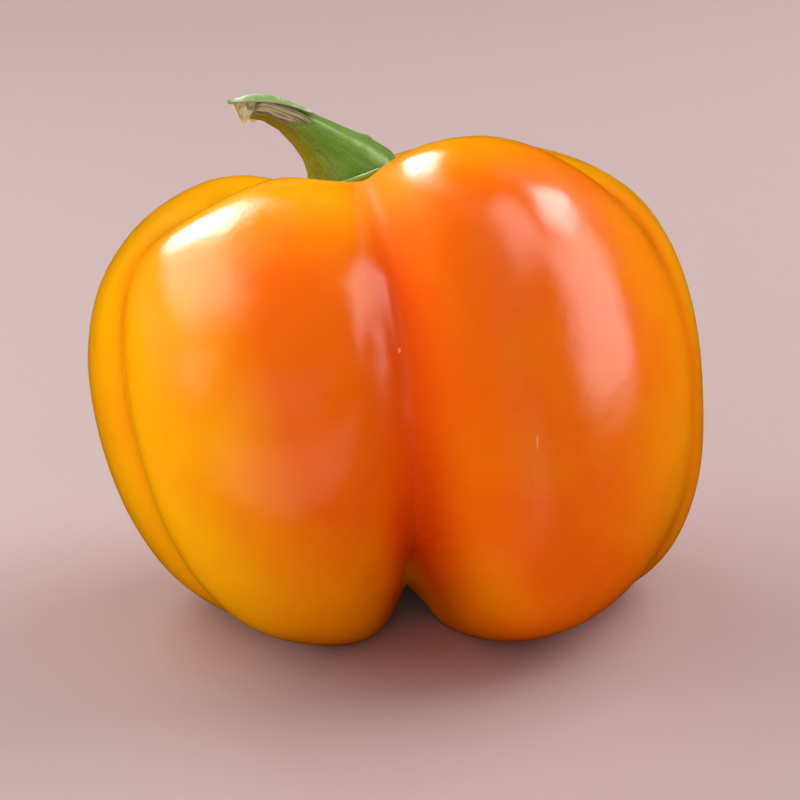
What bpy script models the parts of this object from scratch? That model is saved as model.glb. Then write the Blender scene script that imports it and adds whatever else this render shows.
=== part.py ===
"""Orange bell pepper: a four-lobed fruit, the green calyx in its dimple and the cut stem.

The fruit rests on the tips of its lobes. The origin is on the ground under the middle of the fruit,
+Z is up and -Y is the front. Driving dimensions are in millimetres and degrees, and MM turns them
into Blender's metres.

Run it with: blender --background --python part.py
"""

import math
from collections import namedtuple

import bmesh
import bpy
from mathutils import Vector
from mathutils.bvhtree import BVHTree

MM = 0.001
GAP = 0.3  # clear space between two pieces that touch

# The core line runs from the blossom end up to the floor of the dimple, and leans a little.
DIMPLE_FLOOR = Vector((-5.2, 2.2, 57.0))
BLOSSOM_END = Vector((1.3, -2.3, 3.2))

# A meridian is the skin's outline at one compass angle about the core line. Its crest, belly and
# foot are (distance from the core line, height). shoulder and haunch say how square the outline
# is above and below the belly: 2 is an ellipse, more is squarer, 1 is straight.
Meridian = namedtuple(
    "Meridian", "angle crest_r crest_z belly_r belly_z foot_r foot_z shoulder haunch"
)
LOBES = (
    Meridian(238, 17, 69.0, 52, 37, 15, -1.8, 2.0, 2.1),  # front left
    Meridian(311, 24, 76.0, 49, 43, 12, -1.8, 2.7, 2.9),  # front right, the tallest
    Meridian(34, 27, 67.5, 51, 38, 28, -1.8, 2.3, 2.6),  # back right, the widest
    Meridian(163, 22, 64.0, 45, 34, 23, -1.8, 1.55, 2.15),  # back left, the lowest
)
# Each groove follows the lobe of the same place: front, right, rear, left.
GROOVES = (
    Meridian(278, 17, 68.5, 40.5, 43, 13, 13.5, 2.5, 1.15),
    Meridian(347, 23, 68.5, 48.3, 38.5, 21.5, 0.5, 2.4, 2.1),
    Meridian(105, 21, 57.0, 42.9, 39.2, 18, 7, 2.3, 2.3),
    Meridian(217, 25, 62.5, 43.7, 41, 22.5, 1, 2.8, 1.9),
)
FLANK_STOPS = (0.22, 0.6)  # columns on a flank, as shares of the way from groove to lobe
FLANK_CURVE = 2.2  # how fast a flank rises out of its groove
FRONT_CURVES = (2.8, 3.8)  # the same at the left and right sides of the front groove
FOOT_CURVE = 3.1  # the same at its foot, where the lobes are rounder
DIMPLE_STOPS = ((0.38, 0.10), (0.72, 0.66))  # rings in the dimple: share of the way out, and up
SHOULDER_STOPS = (32, 60)  # rings between crest and belly, degrees down the quarter ellipse
HAUNCH_STOPS = (30, 60)  # rings between belly and foot
BASE_STOPS = ((0.66, 0.45), (0.33, 0.90))  # rings under the fruit: share of foot_r, and up
FOLD_RINGS = (3, 4, 5, 6)  # rings between which the front groove has an edge
GROOVE_FOLD = 0.3  # how sharp it is
LOBE_FOLD = 0.35  # how sharp the edge of the lobe on its left is
SKIN_LEVELS = 2

CALYX_RADIUS = 12.0
CALYX_TEETH = 5
CALYX_TOOTH = 0.11  # how far the teeth stand out, as a share of the radius
CALYX_THICKNESS = 1.3
CALYX_SIDES = 40
CALYX_UNDERSIDE = (0, 0.35, 0.7, 0.9, 1)  # rings under the calyx, as shares of its radius
# Rings on its upper side: share of the radius, and share of the way up from rim to collar.
CALYX_TOP = ((0.97, 0), (0.89, 0.06), (0.81, 0.3), (0.74, 0.65), (0.69, 1), (0, 1))
COLLAR_TOP = 63.2

# The stem's middle line, from the collar to the torn end. At each station it has its half width
# and its lean, the angle from upright towards -X in which the stem grows there.
StemStation = namedtuple("StemStation", "place radius lean")
STEM = (
    StemStation(Vector((-5.4, 1.6, COLLAR_TOP + GAP)), 7.3, 0),
    StemStation(Vector((-5.7, 1.6, 65.0)), 6.9, 6),
    StemStation(Vector((-6.5, 1.5, 66.4)), 6.3, 16),
    StemStation(Vector((-8.2, 1.3, 67.8)), 5.1, 28),
    StemStation(Vector((-10.3, 1.0, 69.6)), 3.8, 38),
    StemStation(Vector((-12.8, 0.6, 71.6)), 2.85, 45),
    StemStation(Vector((-15.7, 0.3, 73.6)), 2.1, 54),
    StemStation(Vector((-18.6, 0.0, 74.9)), 1.7, 67),
    StemStation(Vector((-20.7, -0.2, 75.0)), 1.7, 80),
    StemStation(Vector((-22.6, -0.3, 74.9)), 1.6, 88),
    StemStation(Vector((-24.3, -0.3, 75.3)), 1.2, 92),
)
STEM_SIDES = 30
STEM_RIDGES = 5
STEM_RIDGE = 0.07  # height of a ridge, as a share of the half width


def clear_scene():
    for obj in list(bpy.data.objects):
        bpy.data.objects.remove(obj, do_unlink=True)


def add_collection():
    collection = bpy.data.collections.new("bell_pepper")
    bpy.context.scene.collection.children.link(collection)
    return collection


def add_material(name, colour, roughness):
    material = bpy.data.materials.new(name)
    material.use_nodes = True
    shader = material.node_tree.nodes["Principled BSDF"]
    shader.inputs["Base Color"].default_value = (*colour, 1.0)
    shader.inputs["Roughness"].default_value = roughness
    shader.inputs["Metallic"].default_value = 0.0
    return material


def add_object(collection, name, bm, material):
    """Turns a bmesh in millimetres into a smooth shaded object in metres."""
    bmesh.ops.scale(bm, vec=Vector((MM, MM, MM)), verts=bm.verts)
    bmesh.ops.recalc_face_normals(bm, faces=bm.faces)
    mesh = bpy.data.meshes.new(name)
    bm.to_mesh(mesh)
    bm.free()
    mesh.shade_smooth()
    mesh.materials.append(material)
    obj = bpy.data.objects.new(name, mesh)
    collection.objects.link(obj)
    return obj


def mix(a, b, share):
    return a + (b - a) * share


def flank(groove, lobe, share):
    """The meridian that lies a share of the way from a groove up to the middle of a lobe."""
    curve = FRONT_CURVES[LOBES.index(lobe)] if groove is GROOVES[0] else FLANK_CURVE
    rise = 1 - (1 - share) ** curve
    foot = 1 - (1 - share) ** FOOT_CURVE
    turn = (lobe.angle - groove.angle + 180) % 360 - 180
    blend = Meridian(*(mix(g, l, rise) for g, l in zip(groove, lobe)))
    return blend._replace(
        angle=groove.angle + turn * share,
        foot_r=mix(groove.foot_r, lobe.foot_r, foot),
        foot_z=mix(groove.foot_z, lobe.foot_z, foot),
    )


def skin_columns():
    """The cage's meridians in order round the fruit, six for each lobe, from the left groove on."""
    near, far = FLANK_STOPS
    columns = []
    for place, lobe in enumerate(LOBES):
        before = GROOVES[place - 1]
        after = GROOVES[place]
        columns += [before, flank(before, lobe, near), flank(before, lobe, far)]
        columns += [lobe, flank(after, lobe, far), flank(after, lobe, near)]
    return columns


def outline(meridian):
    """The cage's points down one meridian, as (distance from the core line, height)."""
    m = meridian
    floor_z = DIMPLE_FLOOR.z
    end_z = BLOSSOM_END.z
    points = [(0, floor_z)]
    for out, up in DIMPLE_STOPS:
        points.append((out * m.crest_r, mix(floor_z, m.crest_z, up)))
    points.append((m.crest_r, m.crest_z))
    for stop in map(math.radians, SHOULDER_STOPS):
        out = math.sin(stop) ** (2 / m.shoulder)
        up = math.cos(stop) ** (2 / m.shoulder)
        points.append((mix(m.crest_r, m.belly_r, out), mix(m.belly_z, m.crest_z, up)))
    points.append((m.belly_r, m.belly_z))
    for stop in map(math.radians, HAUNCH_STOPS):
        out = math.cos(stop) ** (2 / m.haunch)
        down = math.sin(stop) ** (2 / m.haunch)
        points.append((mix(m.foot_r, m.belly_r, out), mix(m.belly_z, m.foot_z, down)))
    points.append((m.foot_r, m.foot_z))
    for out, up in BASE_STOPS:
        points.append((out * m.foot_r, mix(m.foot_z, end_z, up)))
    points.append((0, end_z))
    return points


def core_line(z):
    """The point of the core line at a height."""
    share = (z - BLOSSOM_END.z) / (DIMPLE_FLOOR.z - BLOSSOM_END.z)
    return BLOSSOM_END.lerp(DIMPLE_FLOOR, min(max(share, -0.2), 1.2))


def skin_point(meridian, ring):
    distance, height = outline(meridian)[ring]
    core = core_line(height)
    angle = math.radians(meridian.angle)
    return Vector((core.x + distance * math.cos(angle), core.y + distance * math.sin(angle), height))


def build_fruit(collection):
    """One closed skin: a globe's rings and columns are moved to the cage, and subdivided."""
    columns = skin_columns()
    rings = len(outline(columns[0])) - 1
    bm = bmesh.new()
    bmesh.ops.create_uvsphere(bm, u_segments=len(columns), v_segments=rings, radius=1)
    for vert in bm.verts:
        x, y, z = vert.co
        ring = round(math.acos(min(max(z, -1), 1)) / math.pi * rings)
        column = round(math.atan2(y, x) / math.tau * len(columns)) % len(columns)
        vert.co = skin_point(columns[column], ring)
    fold_front_groove(bm)
    skin = add_material("fruit_skin", (0.95, 0.24, 0.01), 0.25)
    fruit = add_object(collection, "fruit", bm, skin)
    subdivision = fruit.modifiers.new("Skin", "SUBSURF")
    subdivision.levels = SKIN_LEVELS
    subdivision.render_levels = SKIN_LEVELS
    settle(fruit)
    return fruit


def fold_front_groove(bm):
    """Creases the upper part of the front groove, and the near edge of the lobe on its left."""
    crease = bm.edges.layers.float.new("crease_edge")
    edge_of_lobe = flank(GROOVES[0], LOBES[0], FLANK_STOPS[0])
    for meridian, sharpness in ((GROOVES[0], GROOVE_FOLD), (edge_of_lobe, LOBE_FOLD)):
        line = [skin_point(meridian, ring) for ring in FOLD_RINGS]
        for edge in bm.edges:
            if all(min((vert.co - point).length for point in line) < 0.01 for vert in edge.verts):
                edge[crease] = sharpness


def settle(fruit):
    """Applies the subdivision, and presses flat the foot of each lobe that dips under the ground."""
    bpy.context.view_layer.update()
    evaluated = fruit.evaluated_get(bpy.context.evaluated_depsgraph_get())
    mesh = bpy.data.meshes.new_from_object(evaluated)
    fruit.modifiers.clear()
    for vert in mesh.vertices:
        vert.co.z = max(vert.co.z, 0.0)
    mesh.name = fruit.name
    fruit.data = mesh


def skin_height(tree, x, y):
    """Height of the skin in the dimple above a place, in millimetres."""
    hit = tree.ray_cast(Vector((x, y, 100)) * MM, Vector((0, 0, -1)))[0]
    return hit.z / MM


def build_calyx(collection, fruit):
    """A toothed green saucer that follows the dimple and rises to a level collar under the stem."""
    tree = BVHTree.FromObject(fruit, bpy.context.evaluated_depsgraph_get())
    centre = STEM[0].place.xy
    under = len(CALYX_UNDERSIDE)
    shares = CALYX_UNDERSIDE + tuple(share for share, _ in CALYX_TOP)
    bm = bmesh.new()
    profile = [bm.verts.new((share, 0, ring)) for ring, share in enumerate(shares)]
    lines = [bm.edges.new(pair) for pair in zip(profile, profile[1:])]
    bmesh.ops.spin(
        bm,
        geom=profile + lines,
        axis=(0, 0, 1),
        cent=(0, 0, 0),
        angle=math.tau,
        steps=CALYX_SIDES,
        use_merge=True,
    )
    bmesh.ops.remove_doubles(bm, verts=bm.verts, dist=1e-4)
    for vert in bm.verts:
        ring = round(vert.co.z)
        angle = math.atan2(vert.co.y, vert.co.x)
        tooth = CALYX_TOOTH * math.cos(CALYX_TEETH * angle) * max(shares[ring] - 0.6, 0) / 0.4
        reach = CALYX_RADIUS * shares[ring] * (1 + tooth)
        x = centre.x + reach * math.cos(angle)
        y = centre.y + reach * math.sin(angle)
        z = skin_height(tree, x, y) + GAP
        if ring >= under:
            z = mix(z + CALYX_THICKNESS, COLLAR_TOP, CALYX_TOP[ring - under][1])
        vert.co = (x, y, z)
    green = add_material("calyx_green", (0.10, 0.22, 0.02), 0.45)
    return add_object(collection, "calyx", bm, green)


def build_stem(collection):
    """A fluted stem: one disc extruded from station to station, up and over to the torn end."""
    bm = bmesh.new()
    bmesh.ops.create_circle(bm, cap_ends=True, segments=STEM_SIDES, radius=1)
    face = bm.faces[:][0]
    for i, station in enumerate(STEM):
        if i:
            last = face
            made = bmesh.ops.extrude_face_region(bm, geom=[last])["geom"]
            face = next(item for item in made if isinstance(item, bmesh.types.BMFace))
            if i > 1:
                bmesh.ops.delete(bm, geom=[last], context="FACES_ONLY")
        lean = math.radians(station.lean)
        across = Vector((math.cos(lean), 0, math.sin(lean)))
        for k, vert in enumerate(face.verts):
            angle = math.tau * k / STEM_SIDES
            reach = station.radius * (1 + STEM_RIDGE * math.cos(STEM_RIDGES * angle))
            vert.co = station.place + across * (reach * math.cos(angle))
            vert.co.y += reach * math.sin(angle)
    green = add_material("stem_green", (0.12, 0.24, 0.02), 0.5)
    return add_object(collection, "stem", bm, green)


def main():
    clear_scene()
    collection = add_collection()
    fruit = build_fruit(collection)
    build_calyx(collection, fruit)
    build_stem(collection)


if __name__ == "__main__":
    main()
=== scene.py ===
"""Bell pepper: a ripe orange fruit of four lobes with its calyx and torn green stem, on a pale stage.

Run as a script, it builds each piece with its operator. The fruit stands at the origin, +Z is up and
-Y is the front. Shapes are worked out in millimetres and degrees, and MM turns them into metres.
"""

import math
from collections import namedtuple

import bmesh
import bpy
from bpy.props import FloatProperty, FloatVectorProperty, IntProperty, PointerProperty
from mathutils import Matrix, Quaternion, Vector, noise
from mathutils.bvhtree import BVHTree


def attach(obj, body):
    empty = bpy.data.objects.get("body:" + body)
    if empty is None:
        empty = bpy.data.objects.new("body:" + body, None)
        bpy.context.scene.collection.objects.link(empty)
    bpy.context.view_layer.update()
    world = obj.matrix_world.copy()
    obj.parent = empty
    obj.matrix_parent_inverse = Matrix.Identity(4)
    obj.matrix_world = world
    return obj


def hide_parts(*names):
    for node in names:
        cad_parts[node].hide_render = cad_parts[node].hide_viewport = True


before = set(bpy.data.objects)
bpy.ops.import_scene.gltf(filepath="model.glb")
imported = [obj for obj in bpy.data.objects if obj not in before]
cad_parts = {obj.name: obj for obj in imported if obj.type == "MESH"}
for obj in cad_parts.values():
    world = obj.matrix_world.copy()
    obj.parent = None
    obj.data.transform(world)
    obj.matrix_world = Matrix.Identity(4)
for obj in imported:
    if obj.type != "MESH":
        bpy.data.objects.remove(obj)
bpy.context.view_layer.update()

bl_info = {
    "name": "Bell Pepper",
    "version": (1, 0, 0),
    "blender": (4, 5, 0),
    "location": "3D View > Sidebar > Bell Pepper",
    "description": "Builds an orange bell pepper with its calyx and torn stem, and a studio for it",
    "category": "Add Mesh",
}

MM = 0.001
NODE_COLUMN, NODE_ROW = 220, 180  # spacing in the node editor

# ---- the fruit's cage

# The core line runs from the blossom end up to the floor of the dimple, and leans a little.
DIMPLE_FLOOR = Vector((-5.2, 2.2, 57.0))
BLOSSOM_END = Vector((1.3, -2.3, 3.2))

# A meridian is the skin's outline at one compass angle about the core line. Its crest, belly and
# foot are (distance from the core line, height). shoulder and haunch say how square the outline
# is above and below the belly: 2 is an ellipse, more is squarer, 1 is straight.
Meridian = namedtuple(
    "Meridian", "angle crest_r crest_z belly_r belly_z foot_r foot_z shoulder haunch"
)
LOBES = (
    Meridian(238, 17, 69.0, 52, 37, 15, -1.8, 2.0, 2.1),  # front left
    Meridian(311, 24, 76.0, 49, 43, 12, -1.8, 2.7, 2.9),  # front right, the tallest
    Meridian(34, 27, 67.5, 51, 38, 28, -1.8, 2.3, 2.6),  # back right, the widest
    Meridian(163, 22, 64.0, 45, 34, 23, -1.8, 1.55, 2.15),  # back left, the lowest
)
# Each groove follows the lobe of the same place: front, right, rear, left.
GROOVES = (
    Meridian(278, 17, 68.5, 40.5, 43, 13, 13.5, 2.5, 1.15),
    Meridian(347, 23, 68.5, 48.3, 38.5, 21.5, 0.5, 2.4, 2.1),
    Meridian(105, 21, 57.0, 42.9, 39.2, 18, 7, 2.3, 2.3),
    Meridian(217, 25, 62.5, 43.7, 41, 22.5, 1, 2.8, 1.9),
)
FLANK_STOPS = (0.22, 0.6)  # columns on a flank, as shares of the way from groove to lobe
FLANK_CURVE = 2.2  # how fast a flank rises out of its groove
FRONT_CURVES = (2.8, 3.8)  # the same at the left and right sides of the front groove
FOOT_CURVE = 3.1  # the same at its foot, where the lobes are rounder
DIMPLE_STOPS = ((0.38, 0.10), (0.72, 0.66))  # rings in the dimple: share of the way out, and up
SHOULDER_STOPS = (32, 60)  # rings between crest and belly, degrees down the quarter ellipse
HAUNCH_STOPS = (30, 60)  # rings between belly and foot
BASE_STOPS = ((0.66, 0.45), (0.33, 0.90))  # rings under the fruit: share of foot_r, and up
FOLD_RINGS = (3, 4, 5, 6)  # rings between which the front groove has an edge
GROOVE_FOLD = 0.3  # how sharp it is
LOBE_FOLD = 0.35  # how sharp the edge of the lobe on its left is

SAME_PLACE = 0.01

# Slow waves in the skin: (size of a wave, height), both in millimetres.
SKIN_WAVES = ((26.0, 0.35), (9.0, 0.10))

# Painted shade: the grooves are painted a darker red. A range is two values between which a colour or
# finish comes in: OUT is a distance from the core line, X, Y and Z are places, all in millimetres.
GROOVE_SHADE = (1.0, 0.35, 0.6, 0.25)  # how much painted shade reddens each groove
GROOVE_WIDTH = 4.0
GROOVE_OUT = (10, 20)
GROOVE_Z = (72, 56)
GROOVE_TOP_SHADE = 0.3

# Painted light: the skin is painted yellower where light falls, on the left side, the feet, the dimple's
# rim, the right side and the back.
PAINTED_LIGHT_STRENGTH = (0.95, 0.6, 0.75, 0.7, 0.5)
LEFT_X = (-8, -34)
LEFT_INWARD = 6  # how much further right its colour starts at the feet than over the belly
FEET_Z = (30, 8)
FEET_X = (30, -10)
RIM_OUT = (42, 24)
RIM_Z = (50, 62)
RIGHT_FROM = (30, 18)  # where the right side's yellow starts, below and on the shoulder
RIGHT_TO = 44
BACK_Y = (-8, 12)
BACK_Z = (40, 60)
BELLY_Z = (35, 55)
SHOULDER_Z = (50, 66)

# The dull wall: ranges in degrees to the right of the front groove, and in height.
DULL_FROM = ((-2, 1), (-8, -4))  # where it starts, below and at the top
DULL_TO = (24, 12)
DULL_TOP_Z = (57, 62)
DULL_FOOT_Z = (12, 26)
DULL_RIM_Z = (71.5, 69)
DULL_ROUGHNESS = 0.3  # how much rougher it is
DULL_GLOSS = (0.5, 0.05)  # specular level of waxed and of dull skin

SKIN_ROUGHNESS = (0.13, 0.19)
SKIN_TINT = 0.12  # how far the large patches change the yellow, either way
PLANT_IOR = 1.42
SCAR_SIZE = (2.4, 2.4, 3.2)
# Small marks: name, centre and half size.
SKIN_MARKS = (
    ("Scratch", (19.3, -41.0, 36.8), (0.14, 6.0, 1.3)),
    ("Nick", (0.5, -37.0, 49.2), (0.24, 6.0, 0.5)),
    ("Left fleck", (-15.3, -31.0, 66.2), (0.16, 6.0, 0.5)),
    ("Next fleck", (-12.8, -31.0, 66.0), (0.16, 6.0, 0.4)),
    ("Upper pock", (-34.4, -22.0, 51.1), (0.3, 5.0, 0.35)),
    ("Lower pock", (-34.3, -22.0, 49.4), (0.3, 5.0, 0.35)),
)

# ---- the calyx

CALYX_CENTRE = Vector((-5.1, 1.6))
CALYX_RADIUS = 12.0
CALYX_TEETH = 5
CALYX_TOOTH = 0.11  # how far the teeth stand out, as a share of the radius
CALYX_NOTCH = 0.6  # share of the radius where the notches between the teeth start
CALYX_SIDES = 80
CALYX_UNDERSIDE = (0, 0.4, 0.8, 0.97)  # rings under the calyx, as shares of its radius
# Rings on its upper side: share of the radius, height over the skin, share of the way up to the collar.
CALYX_TOP = (
    (1.0, 0.5, 0),
    (0.985, 1.1, 0),
    (0.95, 1.2, 0),
    (0.90, 0.9, 0.02),
    (0.85, 1.0, 0.14),
    (0.80, 1.2, 0.40),
    (0.75, 1.3, 0.70),
    (0.70, 1.3, 0.92),
    (0.62, 1.3, 1),
    (0.3, 1.3, 1),
    (0, 1.3, 1),
)
CALYX_RINGS = CALYX_UNDERSIDE + tuple(share for share, _, _ in CALYX_TOP)
CALYX_GAP = 0.1  # from the skin to the calyx
CALYX_RIB = 0.35  # height of a rib
CALYX_ROUGH = 0.3  # height of the small bumps
CALYX_CURL = 0.6  # how far the tips of the teeth turn up
CALYX_TIPS = (0.85, 1.0)  # shares of the radius between which they do
CALYX_FRONT = (-95, 30, 1.1)  # degrees, spread and height of the rim that stands up in the front groove
CALYX_LIP = (0.72, 1.0)  # shares of the radius between which it does
CALYX_GRAIN = 0.25  # length of the grain from the middle to the edge
COLLAR_TOP = 63.3

# ---- the stem


def stations(kind, *rows):
    """Stations of a kind from rows of numbers: the place, then the other fields."""
    return tuple(kind(Vector(row[:3]), *row[3:]) for row in rows)


# The stem's middle line, from the collar to the torn end. At each station it has its half width
# and its lean, the angle from upright towards -X in which the stem grows there.
StemStation = namedtuple("StemStation", "place radius lean")
STEM = stations(
    StemStation,
    (-5.4, 1.6, 62.9, 7.9, 0),
    (-5.4, 1.6, 63.5, 7.5, 0),
    (-5.7, 1.6, 65.0, 6.9, 6),
    (-6.5, 1.5, 66.4, 6.3, 16),
    (-8.2, 1.3, 67.8, 5.1, 28),
    (-10.3, 1.0, 69.6, 3.8, 38),
    (-12.8, 0.6, 71.6, 2.85, 45),
    (-15.7, 0.3, 73.6, 2.1, 54),
    (-18.6, 0.0, 74.9, 1.7, 67),
    (-20.4, -0.1, 75.0, 1.6, 60),
)
STEM_SIDES = 40
STEM_STEPS = 6  # rings from one station to the next
STEM_GRAIN = 0.10  # length of the grain from one station to the next
STEM_RIDGES = 5
STEM_RIDGE = 0.075  # height of a ridge, as a share of the half width
RIDGE_EDGE = 0.35  # how much of a finer wave makes the ridges narrower
RIDGE_TURN = -40  # degrees round the stem from its upper side to the first ridge
RIDGE_PALE = (150, 60)  # degrees from the upper side between which the ridges turn pale
NODULE = (4.12, 13, 0.85)  # station, degrees round the stem, and height of the small leaf scar
NODULE_SIZE = (0.14, 13)  # its half size, in stations and degrees
NODULE_PALE = 0.8

# The olive and ochre lower side. Angles are degrees from the middle of the green side.
GREEN_SIDE = 10  # degrees round the stem from its upper side
OLIVE_FROM = (96, 72)  # at the collar, and from OLIVE_WIDEST on
OLIVE_TO = 140
OLIVE_WIDEST = 7  # station
OLIVE_ALONG = (1.2, 3.6)  # stations between which the olive comes in
OCHRE_ROUND = (84, 112)
OCHRE_ALONG = (5.4, 7.2)

TORN_FROM = 5.85  # station where the torn side starts
TORN_SIDE = (-108, 40)  # degrees round the stem between which its skin is torn away
TORN_MIDDLE = -50
TORN_SLANT = 1.6  # how many stations later it starts, a quarter turn from its middle
TORN_FADE = 0.5  # stations over which it gets bare
TORN_EDGE = 14  # degrees over which it does
TORN_DEPTH = 0.45
END_WALL = 0.25
END_BEVEL = 0.1
END_HOLLOW = 0.7

FIBRES = 15
FIBRE_SIDE = (-96, -8)  # degrees round the stem of the first and the last fibre
FIBRE_START = 0.2  # stations from the torn edge
FIBRE_SLANT = 1.4
FIBRE_END = len(STEM) - 1.05
FIBRE_RADIUS = 0.14
FIBRE_DEPTH = 0.32  # under the stem's own surface
FIBRE_WAVE = 0.12
FIBRE_SWAY = 7  # degrees
FIBRE_TONES = (0.10, 0.85)  # of the dark and the pale ones, from dark to pale
FIBRE_SIDES = 6
FIBRE_RINGS = 14

# The strip of skin that was left on the upper side: middle, half width, half thickness, droop.
LidStation = namedtuple("LidStation", "place half_width half_depth droop")
LID = stations(
    LidStation,
    (-11.7, -0.3, 74.35, 0.25, 0.10, 0.0),
    (-12.6, -0.3, 74.85, 0.6, 0.16, 0.1),
    (-13.9, -0.3, 75.45, 0.8, 0.20, 0.2),
    (-15.2, -0.2, 75.95, 0.95, 0.22, 0.3),
    (-16.6, -0.1, 76.45, 1.1, 0.24, 0.45),
    (-18.3, 0.0, 76.85, 1.25, 0.26, 0.65),
    (-20.2, 0.1, 77.0, 1.3, 0.26, 0.75),
    (-21.8, 0.1, 76.75, 1.1, 0.26, 0.55),
    (-22.9, 0.1, 76.25, 0.6, 0.26, 0.15),
    (-23.5, 0.0, 76.0, 0.35, 0.28, 0.0),
    (-24.0, 0.0, 76.05, 0.50, 0.44, 0.0),
    (-24.4, 0.0, 76.15, 0.34, 0.30, 0.0),
)
LID_SIDES = 16
LID_KNOB = 10  # ring where the knob at the tip starts
LID_MARGIN = (0.6, 1.0)  # shares of the half width between which the thin margin comes in
LID_RAGGED = 0.16  # how far the margin goes up and down
LID_GRAIN = 0.15  # length of the grain from ring to ring

# The curled strip under the lid: (how far along, how far it hangs down) of its lower edge.
CURL_FROM = Vector((-17.8, 0.4, 75.4))
CURL_TO = Vector((-23.5, 0.2, 76.0))
CURL_HANG = (
    (0, 1.0), (0.17, 1.2), (0.34, 1.7), (0.45, 2.4), (0.52, 2.7), (0.6, 2.35), (0.68, 2.65), (0.77, 3.0),
    (0.84, 2.5), (0.91, 1.5), (1, 0.35),
)
CURL_TURN = (75, -125)  # degrees round the strip's middle, from its upper to its lower edge
CURL_REACH = (1.35, 0.2)  # how far it stands out, at its start and its end
CURL_TOP_REACH = (1.05, 0.15)  # how far its upper edge stands up
CURL_CRUMPLE = 0.22
CURL_COLUMNS = 44
CURL_ROWS = 24
CURL_WALL = 0.2

# ---- the stage

CAMERA_TARGET = Vector((0.6, -0.3, 31.3))
SENSOR = 36.0

# Panels are mirrored in the skin and fills light it: where each stands round the fruit, how far it is
# rolled, its size in millimetres and its radiance.
Softbox = namedtuple("Softbox", "name azimuth elevation roll distance width height glow")
SOFT_EDGE = 0.34  # how much of a panel's width its edges take to fade
PANELS = (
    Softbox("window_left", -146, 41, 32, 900, 470, 480, 17.0),
    Softbox("sail_left", -99, 52, 0, 1000, 1560, 720, 4.6),
    Softbox("sail_low", -55, 20, 0, 1000, 420, 620, 1.2),
    Softbox("window_right", 106, 39, 25, 900, 700, 350, 11.5),
    Softbox("wall_right", 88, 12, 0, 1000, 840, 900, 5.0),
    Softbox("sail_right", 58, 49, 0, 1000, 840, 1200, 4.2),
    Softbox("floor_glow", 0, -20, 0, 400, 1000, 300, 0.9),
)
FILLS = (
    Softbox("key_left", -105, 35, 0, 1000, 900, 900, 2.3),
    Softbox("low_left", -75, 15, 0, 1000, 900, 500, 2.4),
    Softbox("fill_front", -10, 6, 0, 1200, 1000, 800, 2.2),
    Softbox("fill_right", 125, 38, 0, 1000, 900, 800, 5.0),
)


# ---- settings


def colour(name, description, default):
    return FloatVectorProperty(
        name=name, description=description, default=default, subtype="COLOR", size=3, min=0, max=1
    )


def number(name, description, default, low, **more):
    return FloatProperty(name=name, description=description, default=default, min=low, **more)


class PepperSkinSettings(bpy.types.PropertyGroup):
    """Sizes and colours of the fruit."""

    levels: IntProperty(
        name="Smoothness", description="Subdivision levels of the skin", default=4, min=1, max=4
    )
    waviness: number("Waviness", "Strength of the slow waves in the skin", 1.0, 0, max=3)
    flesh: colour("Orange", "Main colour of the skin", (0.92, 0.14, 0.0006))
    # Painted light: the yellow that stands for light falling on the sides and feet.
    painted_light: colour("Yellow side", "Colour of the paler sides and feet", (1.0, 0.42, 0.0006))
    # Painted shade: the darker red that stands for the shade in the grooves.
    groove_shade: colour("Groove", "Colour in the grooves", (0.88, 0.09, 0.001))
    scar: colour("Scar", "Colour of the corky scar under the fruit", (0.16, 0.07, 0.025))
    flecks: colour("Flecks", "Colour of the fine pale flecks", (1.0, 0.55, 0.20))
    marks: colour("Marks", "Colour of the small scratches and pocks", (1.0, 0.66, 0.38))


class PepperGreenSettings(bpy.types.PropertyGroup):
    """Colours of the calyx and the stem."""

    leaf: colour("Green", "Main green of the stem", (0.115, 0.23, 0.006))
    ridge: colour("Ridge", "Paler green on the stem's ridges", (0.25, 0.42, 0.10))
    olive: colour("Olive", "Yellow green along the stem's lower side", (0.17, 0.172, 0.003))
    ochre: colour("Ochre", "Yellow brown near the torn end", (0.165, 0.14, 0.003))
    specks: colour("Specks", "Colour of the fine pale specks", (0.55, 0.68, 0.42))
    # Painted shade: this dark brown stands for the shade in the gaps between the fibres and in the hollow
    # end.
    torn: colour("Torn side", "Brown under the fibres", (0.12, 0.075, 0.03))
    lid: colour("Lid", "Pale green of the strip of skin at the torn end", (0.50, 0.60, 0.34))
    lid_dark: colour("Lid patches", "Darker green of that strip", (0.19, 0.36, 0.08))
    # Painted shade: the dark brown that stands for the shade under the strip.
    lid_under: colour("Under the lid", "Brown of that strip's underside", (0.10, 0.075, 0.03))
    fibre: colour("Fibre", "Colour of the dry fibres", (0.44, 0.35, 0.20))
    fibre_dark: colour("Dark fibre", "Colour of the darkest fibres", (0.13, 0.10, 0.03))
    fibre_pale: colour("Pale fibre", "Colour of the palest fibres", (0.50, 0.44, 0.24))
    pith: colour("Pith", "Pale inner side of the curled strip", (0.92, 0.86, 0.55))
    rim: colour("Rim", "Yellow edge of the curled strip", (0.62, 0.48, 0.11))
    calyx: colour("Calyx", "Green of the calyx", (0.085, 0.22, 0.02))
    margin: colour("Margin", "Yellowish margin of the calyx", (0.17, 0.33, 0.03))


class PepperStageSettings(bpy.types.PropertyGroup):
    """The floor, the light and the camera."""

    floor_size: number("Floor size", "Width of the floor", 6.0, 1, unit="LENGTH")
    floor_colour: colour("Floor", "Colour of the floor", (0.425, 0.305, 0.295))
    room_colour: colour("Room", "Colour of the light that comes from all round", (0.90, 0.88, 0.88))
    room_glow: number("Room light", "Strength of the light from all round", 0.55, 0)
    distance: number("Camera distance", "From the lens to the fruit", 0.5, 0.1, unit="LENGTH")
    height: FloatProperty(
        name="Camera height", description="Angle of the camera above the horizon",
        default=math.radians(16), subtype="ANGLE",
    )
    lens: number("Lens", "Focal length in millimetres", 152.0, 1)


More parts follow.
